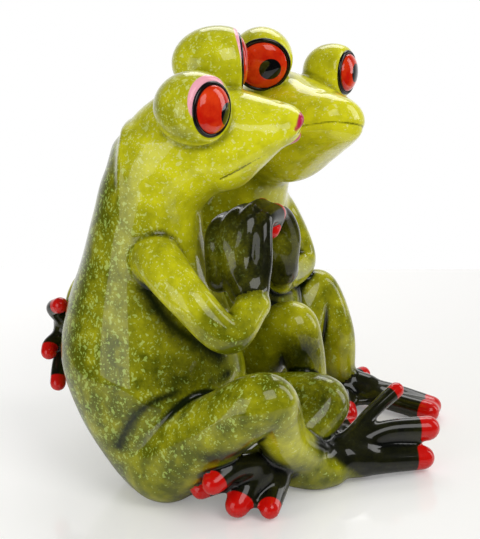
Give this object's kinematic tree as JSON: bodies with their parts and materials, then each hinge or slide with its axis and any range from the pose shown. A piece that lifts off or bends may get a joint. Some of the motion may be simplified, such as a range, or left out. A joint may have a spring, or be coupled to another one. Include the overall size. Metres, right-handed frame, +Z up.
{
  "type": "frog couple figurine",
  "caption": "Seated frog couple with arms round each other, bulging ringed eyes, crossed and bent legs, clasped hands and spread webbed toes.",
  "frame": {"origin": "on the table, in the middle of the whole pair's footprint", "axes": "-Y the way the two frogs sit and face, +X towards the gent's side, +Z up"},
  "size_m": [0.1069, 0.1057, 0.1249],
  "materials": {
    "green_glaze": "painted resin under a clear gloss coat",
    "black_glaze": "black painted resin under a clear gloss coat",
    "red_eye": "red painted eye under a clear gloss coat"
  },
  "bodies": {
    "root": {"lady_torso": "green_glaze", "gent_torso": "green_glaze", "lady_head": "green_glaze", "gent_head": "green_glaze", "lady_right_eye": "red_eye", "lady_left_eye": "red_eye", "gent_right_eye": "red_eye", "gent_left_eye": "red_eye", "lady_right_arm": "green_glaze", "lady_left_arm": "green_glaze", "gent_right_arm": "green_glaze", "gent_left_arm": "green_glaze", "lady_right_hand": "black_glaze", "lady_left_hand": "black_glaze", "gent_right_hand": "black_glaze", "gent_left_hand": "black_glaze", "lady_right_leg": "green_glaze", "lady_left_leg": "green_glaze", "gent_right_leg": "green_glaze", "gent_left_leg": "green_glaze", "lady_right_foot": "black_glaze", "lady_left_foot": "black_glaze", "gent_right_foot": "black_glaze", "gent_left_foot": "black_glaze"}
  },
  "joints": []
}
